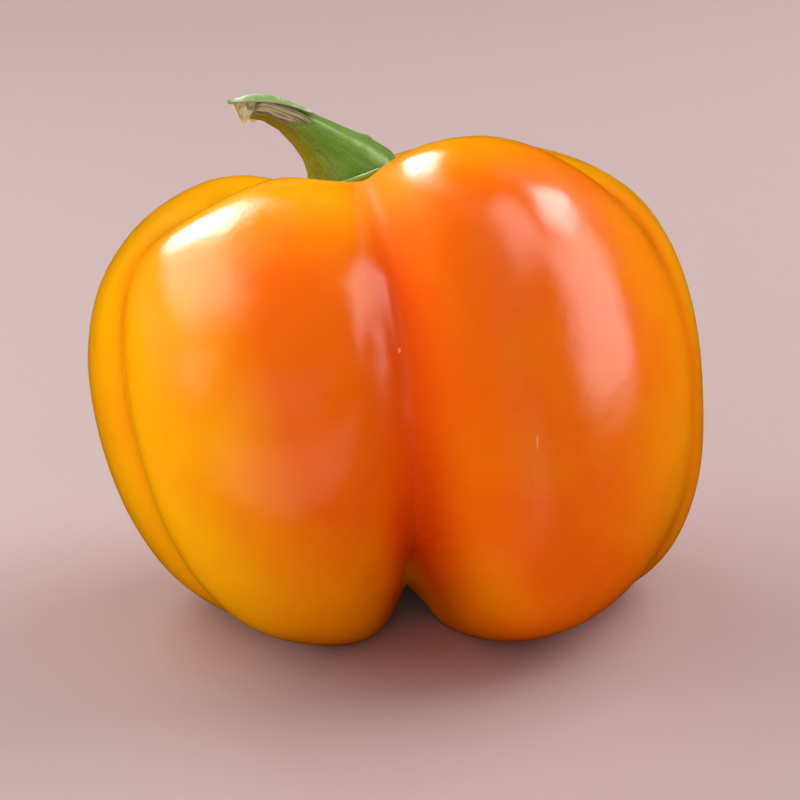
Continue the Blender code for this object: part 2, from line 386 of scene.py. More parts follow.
class PepperSettings(bpy.types.PropertyGroup):
    """All settings of the bell pepper."""

    skin: PointerProperty(type=PepperSkinSettings)
    green: PointerProperty(type=PepperGreenSettings)
    stage: PointerProperty(type=PepperStageSettings)


# ---- small tools


def mix(a, b, share):
    return a + (b - a) * share


def clamp(value, low=0.0, high=1.0):
    return min(max(value, low), high)


def smooth_step(low, high, value):
    share = clamp((value - low) / (high - low))
    return share * share * (3 - 2 * share)


def along_stops(stops, share):
    """The value at a share of the way along a list of (share, value), eased between them."""
    for (x0, y0), (x1, y1) in zip(stops, stops[1:]):
        if share <= x1:
            return mix(y0, y1, smooth_step(x0, x1, share))
    return stops[-1][1]


def degrees_between(a, b):
    """The turn from b to a, from -180 to 180 degrees."""
    return (a - b + 180) % 360 - 180


def new_object(name, bm, material):
    """An object in the scene that takes over a bmesh."""
    mesh = bpy.data.meshes.new(name)
    bm.to_mesh(mesh)
    bm.free()
    mesh.materials.append(material)
    made = bpy.data.objects.new(name, mesh)
    bpy.context.scene.collection.objects.link(made)
    return made


def finish_object(name, bm, material, node, levels=0):
    """Turns a bmesh in millimetres into a smooth piece in metres that rides on the body."""
    bmesh.ops.scale(bm, vec=Vector((MM, MM, MM)), verts=bm.verts)
    bmesh.ops.recalc_face_normals(bm, faces=bm.faces)
    piece = new_object(name, bm, material)
    piece.data.shade_smooth()
    if levels:
        subdivision = piece.modifiers.new("Skin", "SUBSURF")
        subdivision.levels = levels
        subdivision.render_levels = levels
    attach(piece, "root")
    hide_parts(node)
    return piece


def apply_modifiers(piece):
    """Settles a piece's modifiers into its mesh."""
    bpy.context.view_layer.update()
    evaluated = piece.evaluated_get(bpy.context.evaluated_depsgraph_get())
    mesh = bpy.data.meshes.new_from_object(evaluated)
    piece.modifiers.clear()
    mesh.name = piece.name
    piece.data = mesh


def vertex_layers(bm, *names):
    """The layer of the grain's own coordinates, then a layer of numbers for each name."""
    grain = bm.verts.layers.float_vector.new("grain")
    return grain, *(bm.verts.layers.float.new(name) for name in names)


def sweep(bm, rings, sides, set_vertex):
    """Extrudes a disc into a closed rod, ring by ring. set_vertex(vertex, ring, turn) places a point."""
    disc = bmesh.ops.create_circle(bm, cap_ends=True, segments=sides, radius=1)["verts"]
    face = disc[0].link_faces[0]
    for ring in range(rings):
        if ring:
            last = face
            made = bmesh.ops.extrude_face_region(bm, geom=[last])["geom"]
            face = next(item for item in made if isinstance(item, bmesh.types.BMFace))
            if ring > 1:
                bmesh.ops.delete(bm, geom=[last], context="FACES_ONLY")
        for k, vert in enumerate(face.verts):
            set_vertex(vert, ring, k / sides)
    return face


# ---- materials


def connect(tree, node, sockets):
    """Sets a node's inputs to values or to other nodes' outputs, and stands it to the right of those."""
    for name, value in sockets.items():
        if isinstance(value, bpy.types.NodeSocket):
            tree.links.new(value, node.inputs[name])
            node.location.x = max(node.location.x, value.node.location.x + NODE_COLUMN)
        else:
            node.inputs[name].default_value = value
    node.location.y = -NODE_ROW * sum(other.location.x == node.location.x for other in tree.nodes)


def add_node(tree, kind, label, sockets=None, **options):
    made = tree.nodes.new(kind)
    made.label = label
    for name, value in options.items():
        setattr(made, name, value)
    connect(tree, made, sockets or {})
    return made


def mix_colours(tree, label, factor, first, second, blend="MIX"):
    """Mixes two colours, each given as three numbers or as an output."""
    first, second = (c if isinstance(c, bpy.types.NodeSocket) else (*c, 1.0) for c in (first, second))
    sockets = {0: factor, 6: first, 7: second}
    return add_node(tree, "ShaderNodeMix", label, sockets, data_type="RGBA", blend_type=blend).outputs[2]


def paint(tree, base, *coats):
    """Mixes colours over a base, one after another. Each coat is (label, mask, colour)."""
    for label, mask, over in coats:
        base = mix_colours(tree, label, mask, base, over)
    return base


def calculate(tree, label, operation, *values, clamped=False):
    """The result of a Math node. Each value is a number or an output."""
    made = add_node(tree, "ShaderNodeMath", label, dict(enumerate(values)),
                    operation=operation, use_clamp=clamped)
    return made.outputs[0]


def remap(tree, label, value, source=(0, 1), target=(0, 1), smooth=False):
    """Moves a value from one range to another. The ends of the ranges may be outputs."""
    ends = dict(zip(("From Min", "From Max", "To Min", "To Max"), (*source, *target)))
    kind = "SMOOTHSTEP" if smooth else "LINEAR"
    made = add_node(tree, "ShaderNodeMapRange", label, {"Value": value, **ends}, interpolation_type=kind)
    return made.outputs["Result"]


def noise_texture(tree, label, where, scale, detail, roughness=0.5):
    sockets = {"Vector": where, "Scale": scale, "Detail": detail, "Roughness": roughness}
    return add_node(tree, "ShaderNodeTexNoise", label, sockets).outputs[0]


def attributes(tree, *names):
    """The numbers that the piece's points hold under these names."""
    return [
        add_node(tree, "ShaderNodeAttribute", name, attribute_name=name).outputs["Fac"] for name in names
    ]


def streaks(tree, scale):
    """Lengthwise streaks on a piece that holds its own grain as an attribute."""
    grain = add_node(tree, "ShaderNodeAttribute", "grain", attribute_name="grain").outputs["Vector"]
    return noise_texture(tree, "Lengthwise grain", grain, scale, 3.0, 0.6)


def relief(tree, height, strength, depth):
    """The normals of a surface with fine relief. depth is in millimetres."""
    sockets = {"Strength": strength, "Distance": depth * MM, "Height": height}
    return add_node(tree, "ShaderNodeBump", "Relief", sockets).outputs["Normal"]


def fill_mottle(group, given):
    """Soft irregular patches between two limits of a noise."""
    cloud = noise_texture(group, "Patches", given["Place"], given["Scale"], given["Detail"])
    return remap(group, "Between the limits", cloud, (given["Low"], given["High"]), smooth=True)


def fill_flecks(group, given):
    """Small round flecks, one in some of the cells of a Voronoi pattern."""
    cells = add_node(group, "ShaderNodeTexVoronoi", "Cells",
                     {"Vector": given["Place"], "Scale": given["Scale"]})
    dot = remap(group, "Dot", cells.outputs["Distance"], (0, given["Size"]), (1, 0), smooth=True)
    cell = add_node(group, "ShaderNodeSeparateColor", "Cell number", {"Color": cells.outputs["Color"]})
    chosen = calculate(group, "Chosen cells", "GREATER_THAN", cell.outputs[0], given["Rarity"])
    return calculate(group, "Flecks", "MULTIPLY", dot, chosen)


def fill_mark(group, given):
    """One soft oval mark at a place on the skin."""
    away = add_node(group, "ShaderNodeVectorMath", "From the centre",
                    {0: given["Place"], 1: given["Centre"]}, operation="SUBTRACT")
    scaled = add_node(group, "ShaderNodeVectorMath", "In half sizes",
                      {0: away.outputs[0], 1: given["Half Size"]}, operation="DIVIDE")
    far = add_node(group, "ShaderNodeVectorMath", "How far", {0: scaled.outputs[0]}, operation="LENGTH")
    inner = calculate(group, "Inner edge", "SUBTRACT", 1.0, given["Softness"])
    return remap(group, "Mark", far.outputs["Value"], (inner, 1), (1, 0), smooth=True)


# Effects placed as node groups: what fills one, and its inputs with their defaults. None is a vector.
EFFECTS = {
    "mottle": (fill_mottle, {"Place": None, "Scale": 60.0, "Detail": 3.0, "Low": 0.35, "High": 0.65}),
    "flecks": (fill_flecks, {"Place": None, "Scale": 300.0, "Size": 0.15, "Rarity": 0.8}),
    "mark": (fill_mark, {"Place": None, "Centre": None, "Half Size": None, "Softness": 0.5}),
}


def effect_group(kind):
    """The node group of an effect, built once, with a mask as its output."""
    name = "pepper_" + kind
    if name in bpy.data.node_groups:
        return bpy.data.node_groups[name]
    fill, inputs = EFFECTS[kind]
    group = bpy.data.node_groups.new(name, "ShaderNodeTree")
    group.interface.new_socket("Mask", in_out="OUTPUT", socket_type="NodeSocketFloat")
    for title, default in inputs.items():
        socket_type = "NodeSocketVector" if default is None else "NodeSocketFloat"
        socket = group.interface.new_socket(title, in_out="INPUT", socket_type=socket_type)
        if default is not None:
            socket.default_value = default
    entry = group.nodes.new("NodeGroupInput")
    leave = group.nodes.new("NodeGroupOutput")
    connect(group, leave, {"Mask": fill(group, entry.outputs)})
    return group


def effect(tree, kind, label, **sockets):
    """Places an effect and gives its mask. A socket's name is in small letters, with _ for a space."""
    sockets = {name.replace("_", " ").title(): value for name, value in sockets.items()}
    return add_node(tree, "ShaderNodeGroup", label, sockets, node_tree=effect_group(kind)).outputs[0]


def make_material(name, surface, colours):
    """A material whose Principled shader takes the sockets that surface(tree, place, colours) returns."""
    material = bpy.data.materials.new(name)
    material.use_nodes = True
    tree = material.node_tree
    place = add_node(tree, "ShaderNodeTexCoord", "Place on the piece").outputs["Object"]
    shader = tree.nodes["Principled BSDF"]
    connect(tree, shader, surface(tree, place, colours))
    tree.nodes["Material Output"].location = shader.location + Vector((2 * NODE_COLUMN, 0))
    return material


def skin_colour(tree, place, colours):
    """The skin's colour, from the painted light of the yellow side to the last small mark."""
    groove, painted_light = attributes(tree, "groove", "painted_light")
    patches = effect(tree, "mottle", "Large patches", place=place, scale=55.0, low=0.3, high=0.7)
    tint = calculate(tree, "Broken tint", "MULTIPLY_ADD", patches, 2 * SKIN_TINT, -SKIN_TINT)
    # Painted light: yellower where light falls, broken by the large patches.
    side = calculate(tree, "Sunny side", "ADD", painted_light, tint, clamped=True)
    dots = effect(tree, "flecks", "Pale flecks", place=place, scale=900.0, size=0.14, rarity=0.93)
    scar = effect(tree, "mark", "Blossom scar", place=place, centre=BLOSSOM_END * MM,
                  half_size=Vector(SCAR_SIZE) * MM, softness=0.45)
    scuffs = 0.0
    for label, centre, half_size in SKIN_MARKS:
        one = effect(tree, "mark", label, place=place, centre=Vector(centre) * MM,
                     half_size=Vector(half_size) * MM, softness=0.6)
        scuffs = calculate(tree, "Marks so far", "MAXIMUM", one, scuffs)
    return paint(
        tree, colours.flesh,
        ("Orange to yellow", side, colours.painted_light),
        # Painted shade: the grooves are painted a darker red.
        ("Groove", groove, colours.groove_shade),
        ("Flecks", calculate(tree, "Faint flecks", "MULTIPLY", dots, 0.16), colours.flecks),
        ("Scar", scar, colours.scar),
        ("Marks", calculate(tree, "Faint marks", "MULTIPLY", scuffs, 0.6), colours.marks),
    )


def skin_surface(tree, place, colours):
    """Waxy orange skin: painted light makes it yellower on the left side and the feet, painted shade
    makes it redder in the grooves.
    """
    [dull] = attributes(tree, "dull")
    wax = effect(tree, "mottle", "Uneven wax", place=place, scale=240.0, detail=4.0, low=0.25, high=0.75)
    rough = remap(tree, "Roughness", wax, target=SKIN_ROUGHNESS)
    peel = noise_texture(tree, "Fine peel", place, 1500.0, 2.0)
    dents = noise_texture(tree, "Slow dents", place, 300.0, 1.0)
    height = calculate(tree, "Relief height", "MULTIPLY_ADD", dents, 2.5, peel)
    return {
        "Base Color": skin_colour(tree, place, colours),
        "Roughness": calculate(tree, "Rougher where dull", "MULTIPLY_ADD", dull, DULL_ROUGHNESS, rough),
        "Specular IOR Level": remap(tree, "Gloss", dull, target=DULL_GLOSS),
        "Normal": relief(tree, height, 0.35, 0.05),
        "IOR": PLANT_IOR,
        "Subsurface Weight": 0.15,
        "Subsurface Radius": (1.0, 0.35, 0.05),
        "Subsurface Scale": 3.5 * MM,
    }


def stem_surface(tree, place, colours):
    """Green stem with paler ridges, an olive lower side and a dry torn end, with dark brown painted shade
    under the fibres and in its hollow end.
    """
    ridge, olive, ochre, torn = attributes(tree, "ridge", "olive", "ochre", "torn")
    lines = streaks(tree, 9.0)
    patches = effect(tree, "mottle", "Patches", place=place, scale=260.0, low=0.3, high=0.7)
    base = paint(
        tree, colours.leaf,
        ("Ridges", calculate(tree, "Broken ridge", "MULTIPLY", ridge, patches), colours.ridge),
        ("Lower side", olive, colours.olive),
        ("Ochre side", ochre, colours.ochre),
    )
    shade = remap(tree, "Grain tint", lines, (0.3, 0.7), (0.78, 1.22))
    grey = add_node(tree, "ShaderNodeCombineColor", "Grain grey", {0: shade, 1: shade, 2: shade})
    base = mix_colours(tree, "Grain", 1.0, base, grey.outputs[0], "MULTIPLY")
    dots = effect(tree, "flecks", "Pale specks", place=place, scale=3600.0, size=0.35, rarity=0.4)
    base = paint(
        tree, base,
        ("Specks", calculate(tree, "Faint specks", "MULTIPLY", dots, 0.3), colours.specks),
        # Painted shade: dark brown on the torn side, so the gaps between the fibres read as shade.
        ("Torn side", torn, colours.torn),
    )
    return {
        "Base Color": base,
        "Roughness": remap(tree, "Roughness", patches, target=(0.42, 0.60)),
        "Normal": relief(tree, lines, 0.5, 0.12),
        "IOR": PLANT_IOR,
        "Specular IOR Level": 0.35,
        "Subsurface Weight": 0.08,
        "Subsurface Radius": (0.5, 1.0, 0.1),
        "Subsurface Scale": 1.2 * MM,
    }


def lid_surface(tree, place, colours):
    """Pale green strip of skin in two tones, brown at its thin edges, with dark brown painted shade
    underneath.
    """
    edge, under = attributes(tree, "edge", "under")
    lines = streaks(tree, 5.0)
    patches = effect(tree, "mottle", "Patches", place=place, scale=420.0, low=0.4, high=0.6)
    base = paint(
        tree, colours.lid,
        ("Patches", patches, colours.lid_dark),
        ("Edges", calculate(tree, "Dry edge", "MULTIPLY", edge, lines), colours.fibre),
        # Painted shade: the strip's underside is painted dark brown.
        ("Underneath", under, colours.lid_under),
    )
    return {
        "Base Color": base,
        "Roughness": remap(tree, "Roughness", lines, target=(0.40, 0.62)),
        "Normal": relief(tree, lines, 0.6, 0.12),
    }


def fibre_surface(tree, place, colours):
    """Dry beige fibres, some of them darker and a little green."""
    [tone] = attributes(tree, "tone")
    lines = streaks(tree, 5.0)
    green = effect(tree, "mottle", "Green patches", place=place, scale=500.0, detail=2.0, low=0.5,
                   high=0.75)
    base = paint(
        tree, colours.fibre_dark,
        ("Fibre tones", tone, colours.fibre_pale),
        ("Grain", calculate(tree, "Faint grain", "MULTIPLY", lines, 0.4), colours.fibre),
        ("Left of the green", calculate(tree, "Faint green", "MULTIPLY", green, 0.3), colours.ridge),
    )
    return {"Base Color": base, "Roughness": 0.7, "Normal": relief(tree, lines, 0.5, 0.08)}


def curl_surface(tree, place, colours):
    """Whitish curled strip with stains and a yellow rim."""
    [edge] = attributes(tree, "edge")
    lines = streaks(tree, 7.0)
    stains = effect(tree, "mottle", "Stains", place=place, scale=900.0, low=0.40, high=0.66)
    base = paint(
        tree, colours.pith,
        ("Stained pith", stains, colours.fibre),
        ("Rim", edge, colours.rim),
    )
    return {
        "Base Color": base,
        "Roughness": remap(tree, "Roughness", lines, target=(0.45, 0.7)),
        "Normal": relief(tree, lines, 0.6, 0.15),
        "Subsurface Weight": 0.15,
        "Subsurface Radius": (1.0, 0.9, 0.3),
        "Subsurface Scale": 0.6 * MM,
    }


def calyx_surface(tree, place, colours):
    """Glossy green calyx with paler ribs and a yellowish margin."""
    rib, margin = attributes(tree, "rib", "margin")
    lines = streaks(tree, 7.0)
    patches = effect(tree, "mottle", "Patches", place=place, scale=260.0, low=0.35, high=0.65)
    base = paint(
        tree, colours.calyx,
        ("Patches", patches, colours.leaf),
        ("Ribs", calculate(tree, "Broken ribs", "MULTIPLY", rib, lines), colours.ridge),
        ("Margin", margin, colours.margin),
    )
    return {
        "Base Color": base,
        "Roughness": remap(tree, "Roughness", lines, target=(0.26, 0.42)),
        "Normal": relief(tree, lines, 0.5, 0.12),
        "Coat Weight": 0.6,
        "Coat Roughness": 0.15,
    }


# ---- the fruit


def flank(groove, lobe, share):
    """The meridian that lies a share of the way from a groove up to the middle of a lobe."""
    curve = FRONT_CURVES[LOBES.index(lobe)] if groove is GROOVES[0] else FLANK_CURVE
    rise = 1 - (1 - share) ** curve
    foot = 1 - (1 - share) ** FOOT_CURVE
    turn = degrees_between(lobe.angle, groove.angle)
    blend = Meridian(*(mix(g, l, rise) for g, l in zip(groove, lobe)))
    return blend._replace(
        angle=groove.angle + turn * share,
        foot_r=mix(groove.foot_r, lobe.foot_r, foot),
        foot_z=mix(groove.foot_z, lobe.foot_z, foot),
    )


def skin_columns():
    """The cage's meridians in order round the fruit, six for each lobe, from the left groove on."""
    near, far = FLANK_STOPS
    columns = []
    for place, lobe in enumerate(LOBES):
        before = GROOVES[place - 1]
        after = GROOVES[place]
        columns += [before, flank(before, lobe, near), flank(before, lobe, far)]
        columns += [lobe, flank(after, lobe, far), flank(after, lobe, near)]
    return columns


def outline(meridian):
    """The cage's points down one meridian, as (distance from the core line, height)."""
    m = meridian
    floor_z = DIMPLE_FLOOR.z
    end_z = BLOSSOM_END.z
    points = [(0, floor_z)]
    for out, up in DIMPLE_STOPS:
        points.append((out * m.crest_r, mix(floor_z, m.crest_z, up)))
    points.append((m.crest_r, m.crest_z))
    for stop in map(math.radians, SHOULDER_STOPS):
        out = math.sin(stop) ** (2 / m.shoulder)
        up = math.cos(stop) ** (2 / m.shoulder)
        points.append((mix(m.crest_r, m.belly_r, out), mix(m.belly_z, m.crest_z, up)))
    points.append((m.belly_r, m.belly_z))
    for stop in map(math.radians, HAUNCH_STOPS):
        out = math.cos(stop) ** (2 / m.haunch)
        down = math.sin(stop) ** (2 / m.haunch)
        points.append((mix(m.foot_r, m.belly_r, out), mix(m.belly_z, m.foot_z, down)))
    points.append((m.foot_r, m.foot_z))
    for out, up in BASE_STOPS:
        points.append((out * m.foot_r, mix(m.foot_z, end_z, up)))
    points.append((0, end_z))
    return points


def core_line(z):
    """The point of the core line at a height."""
    share = (z - BLOSSOM_END.z) / (DIMPLE_FLOOR.z - BLOSSOM_END.z)
    return BLOSSOM_END.lerp(DIMPLE_FLOOR, clamp(share, -0.2, 1.2))


def skin_point(meridian, ring):
    distance, height = outline(meridian)[ring]
    core = core_line(height)
    angle = math.radians(meridian.angle)
    return Vector((core.x + distance * math.cos(angle), core.y + distance * math.sin(angle), height))


def from_core(place):
    """How far a place is from the core line, and its compass angle round it in degrees."""
    core = core_line(place.z)
    x, y = place.x - core.x, place.y - core.y
    return math.hypot(x, y), math.degrees(math.atan2(y, x))


def groove_shade_share(place):
    """How much painted shade a point of the skin gets from being close to a groove's line, from 0 to 1.
    """
    out, angle = from_core(place)
    depth = 0.0
    for groove, shade_strength in zip(GROOVES, GROOVE_SHADE):
        arc = out * math.radians(abs(degrees_between(angle, groove.angle)))
        depth = max(depth, shade_strength * math.exp(-((arc / GROOVE_WIDTH) ** 2)))
    up = mix(GROOVE_TOP_SHADE, 1, smooth_step(*GROOVE_Z, place.z))
    return depth * smooth_step(*GROOVE_OUT, out) * up


def dull_share(place):
    """How dull the skin is: the right wall of the front groove has lost its wax."""
    turn = degrees_between(from_core(place)[1], GROOVES[0].angle)
    top = smooth_step(*DULL_TOP_Z, place.z)
    start, end = (mix(low, high, top) for low, high in zip(*DULL_FROM))
    across = smooth_step(start, end, turn) * smooth_step(*DULL_TO, turn)
    return across * smooth_step(*DULL_FOOT_Z, place.z) * smooth_step(*DULL_RIM_Z, place.z)


def painted_light_share(place):
    """How much painted light makes the skin yellow: the sum of its lit parts, from 0 to 1."""
    x, y, z = place
    left = smooth_step(*LEFT_X, x + LEFT_INWARD * smooth_step(*BELLY_Z, z))
    feet = smooth_step(*FEET_Z, z) * smooth_step(*FEET_X, x)
    rim = smooth_step(*RIM_OUT, from_core(place)[0]) * smooth_step(*RIM_Z, z)
    right = smooth_step(mix(*RIGHT_FROM, smooth_step(*SHOULDER_Z, z)), RIGHT_TO, x)
    back = smooth_step(*BACK_Y, y) * smooth_step(*BACK_Z, z)
    return clamp(sum(most * part for most, part in zip(PAINTED_LIGHT_STRENGTH, (left, feet, rim, right, back))))


def build_fruit(skin):
    """One closed skin: a globe's rings and columns are moved to the cage, subdivided and waved."""
    columns = skin_columns()
    rings = len(outline(columns[0])) - 1
    bm = bmesh.new()
    bmesh.ops.create_uvsphere(bm, u_segments=len(columns), v_segments=rings, radius=1)
    for vert in bm.verts:
        x, y, z = vert.co
        ring = round(math.acos(clamp(z, -1, 1)) / math.pi * rings)
        column = round(math.atan2(y, x) / math.tau * len(columns)) % len(columns)
        vert.co = skin_point(columns[column], ring)
    fold_front_groove(bm)
    skin_wax = make_material("pepper_skin", skin_surface, skin)
    fruit = finish_object("fruit_skin", bm, skin_wax, "fruit", skin.levels)
    apply_modifiers(fruit)
    wave_skin(fruit.data, skin.waviness)


def fold_front_groove(bm):
    """Creases the upper part of the front groove, and the near edge of the lobe on its left."""
    crease = bm.edges.layers.float.new("crease_edge")
    edge_of_lobe = flank(GROOVES[0], LOBES[0], FLANK_STOPS[0])
    for meridian, sharpness in ((GROOVES[0], GROOVE_FOLD), (edge_of_lobe, LOBE_FOLD)):
        line = [skin_point(meridian, ring) for ring in FOLD_RINGS]
        for edge in bm.edges:
            if all(min((vert.co - point).length for point in line) < SAME_PLACE for vert in edge.verts):
                edge[crease] = sharpness


def wave_skin(mesh, strength):
    """Adds slow waves, presses the feet flat, and marks the skin's red painted shade, yellow painted
    light and dull parts.
    """
    places = [vert.co / MM for vert in mesh.vertices]
    normals = [vert.normal.copy() for vert in mesh.vertices]
    for vert, place, normal in zip(mesh.vertices, places, normals):
        lift = sum(high * noise.noise(place / size) for size, high in SKIN_WAVES)
        vert.co += normal * (lift * strength * MM)
        vert.co.z = max(vert.co.z, 0.0)
    for name, share in (("groove", groove_shade_share), ("painted_light", painted_light_share), ("dull", dull_share)):
        layer = mesh.attributes.new(name, "FLOAT", "POINT")
        layer.data.foreach_set("value", [share(place) for place in places])


# ---- the calyx


def skin_height(tree, x, y):
    """Height of the skin in the dimple above a place, in millimetres."""
    hit = tree.ray_cast(Vector((x, y, 100)) * MM, Vector((0, 0, -1)))[0]
    return hit.z / MM


def calyx_height(skin, angle, ring, rib):
    """Height of the calyx at an angle and ring, over the height of the skin there."""
    share = CALYX_RINGS[ring]
    towards, spread, high = CALYX_FRONT
    away = degrees_between(math.degrees(angle), towards)
    front = high * math.exp(-((away / spread) ** 2)) * smooth_step(*CALYX_LIP, share)
    z = skin + front + CALYX_CURL * rib * smooth_step(*CALYX_TIPS, share)
    if ring < len(CALYX_UNDERSIDE):
        return z + CALYX_GAP
    _, lift, up = CALYX_TOP[ring - len(CALYX_UNDERSIDE)]
    fine = noise.noise(Vector((math.cos(angle) * 6, math.sin(angle) * 6, share * 2)))
    rough = (CALYX_RIB * rib + CALYX_ROUGH * fine) * smooth_step(1.0, 0.9, share)
    return mix(z + lift + rough, COLLAR_TOP, up)


def build_calyx(green):
    """A toothed and ribbed saucer that follows the dimple and rises to the stem's collar."""
    fruit = bpy.data.objects["fruit_skin"]
    tree = BVHTree.FromObject(fruit, bpy.context.evaluated_depsgraph_get())
    bm = bmesh.new()
    profile = [bm.verts.new((share, 0, ring)) for ring, share in enumerate(CALYX_RINGS)]
    lines = [bm.edges.new(pair) for pair in zip(profile, profile[1:])]
    bmesh.ops.spin(
        bm, geom=profile + lines, axis=(0, 0, 1), cent=(0, 0, 0), angle=math.tau,
        steps=CALYX_SIDES, use_merge=True,
    )
    bmesh.ops.remove_doubles(bm, verts=bm.verts, dist=1e-4)
    grain, rib_layer, margin = vertex_layers(bm, "rib", "margin")
    for vert in bm.verts:
        ring = round(vert.co.z)
        share = CALYX_RINGS[ring]
        angle = math.atan2(vert.co.y, vert.co.x)
        wave = math.cos(CALYX_TEETH * angle)
        rib = max(wave, 0) ** 3
        tooth = CALYX_TOOTH * wave * max(share - CALYX_NOTCH, 0) / (1 - CALYX_NOTCH)
        reach = CALYX_RADIUS * share * (1 + tooth)
        x = CALYX_CENTRE.x + reach * math.cos(angle)
        y = CALYX_CENTRE.y + reach * math.sin(angle)
        vert.co = (x, y, calyx_height(skin_height(tree, x, y), angle, ring, rib))
        vert[grain] = Vector((math.cos(angle), math.sin(angle), share * CALYX_GRAIN))
        vert[rib_layer] = rib
        vert[margin] = smooth_step(0.9, 1.0, share)
    leaf = make_material("pepper_calyx", calyx_surface, green)
    finish_object("calyx_saucer", bm, leaf, "calyx", 1)


# ---- the stem


def stem_at(station):
    """The stem's middle, half width and lean at a place between two stations."""
    last = min(int(station), len(STEM) - 2)
    share = station - last
    a, b = STEM[last], STEM[last + 1]
    radius = mix(a.radius, b.radius, share)
    return StemStation(a.place.lerp(b.place, share), radius, mix(a.lean, b.lean, share))


def out_of_stem(station, degrees):
    """The direction out of the stem, degrees round from its upper side; negative is the front."""
    lean = math.radians(stem_at(station).lean)
    angle = math.radians(degrees)
    across = Vector((math.cos(lean), 0, math.sin(lean)))
    return across * math.cos(angle) + Vector((0, math.sin(angle), 0))


def stem_point(station, degrees, lift=0.0):
    """A point on the stem's ridged surface, or lifted from it."""
    here = stem_at(station)
    turn = math.radians(STEM_RIDGES * (degrees - RIDGE_TURN))
    ridge = (math.cos(turn) + RIDGE_EDGE * math.cos(2 * turn)) / (1 + RIDGE_EDGE)
    return here.place + out_of_stem(station, degrees) * (here.radius * (1 + STEM_RIDGE * ridge) + lift)


def torn_start(degrees, slant):
    """The station where the torn side starts: later, away from its middle."""
    return TORN_FROM + slant * abs(degrees_between(degrees, TORN_MIDDLE)) / 90


def torn_share(station, degrees):
    """How far the skin is torn away at a place on the stem, from 0 to 1."""
    low, high = TORN_SIDE
    start = torn_start(degrees, TORN_SLANT)
    across = smooth_step(low, low + TORN_EDGE, degrees) * smooth_step(high, high - TORN_EDGE, degrees)
    return across * smooth_step(start, start + TORN_FADE, station)


def nodule_share(station, degrees):
    """How near a place on the stem is to the leaf scar, from 0 to 1."""
    place, around, _ = NODULE
    along_size, around_size = NODULE_SIZE
    along = (station - place) / along_size
    return math.exp(-(along**2) - (degrees_between(degrees, around) / around_size) ** 2)


def build_stem(green):
    """A fluted stem, extruded up and over to the torn end, where it is hollow."""
    bm = bmesh.new()
    grain, ridge, olive, ochre, torn = vertex_layers(bm, "ridge", "olive", "ochre", "torn")

    def set_vertex(vert, ring, turn):
        station = ring / STEM_STEPS
        degrees = degrees_between(360 * turn, 0)
        bare = torn_share(station, degrees)
        scar = nodule_share(station, degrees)
        vert.co = stem_point(station, degrees, NODULE[2] * scar - TORN_DEPTH * bare)
        angle = math.radians(degrees)
        vert[grain] = Vector((math.cos(angle), math.sin(angle), station * STEM_GRAIN))
        crest = max(math.cos(math.radians(STEM_RIDGES * (degrees - RIDGE_TURN))), 0) ** 2
        vert[ridge] = clamp(crest * smooth_step(*RIDGE_PALE, abs(degrees)) + NODULE_PALE * scar)
        below = abs(degrees_between(degrees, GREEN_SIDE))
        olive_from = mix(*OLIVE_FROM, clamp(station / OLIVE_WIDEST))
        vert[olive] = smooth_step(olive_from, OLIVE_TO, below) * smooth_step(*OLIVE_ALONG, station)
        vert[ochre] = smooth_step(*OCHRE_ALONG, station) * smooth_step(*OCHRE_ROUND, below)
        vert[torn] = bare

    end = sweep(bm, (len(STEM) - 1) * STEM_STEPS + 1, STEM_SIDES, set_vertex)
    bmesh.ops.inset_region(bm, faces=[end], thickness=END_WALL, depth=0)
    bmesh.ops.inset_region(bm, faces=[end], thickness=END_BEVEL, depth=-END_HOLLOW)
    # Painted shade: the hollow end gets the dark brown of the torn side.
    for vert in end.verts:
        vert[torn] = 1.0
    bark = make_material("pepper_stem", stem_surface, green)
    finish_object("stem_stalk", bm, bark, "stem", 1)


def build_lid(green):
    """The strip of skin left on the stem's upper side, with a small knob at its tip."""
    bm = bmesh.new()
    grain, edge, under = vertex_layers(bm, "edge", "under")

    def set_vertex(vert, ring, turn):
        station = LID[ring]
        angle = math.tau * turn
        aside, above = math.cos(angle), math.sin(angle)
        margin = smooth_step(*LID_MARGIN, abs(aside))
        ragged = LID_RAGGED * noise.noise(Vector((ring * 1.7, aside * 2, 0)))
        up = station.half_depth * above - station.droop * aside**2
        up += ragged * margin * smooth_step(LID_KNOB, LID_KNOB - 3, ring)
        vert.co = station.place + Vector((0, station.half_width * aside, up))
        vert[grain] = Vector((aside, above, ring * LID_GRAIN))
        vert[edge] = margin * smooth_step(LID_KNOB, LID_KNOB - 2, ring)
        # Painted shade: marks the underside, which is painted dark brown.
        vert[under] = smooth_step(0.1, -0.5, above) * smooth_step(LID_KNOB - 1, LID_KNOB - 2, ring)

    sweep(bm, len(LID), LID_SIDES, set_vertex)
    strip = make_material("pepper_lid", lid_surface, green)
    finish_object("stem_lid", bm, strip, "stem", 2)


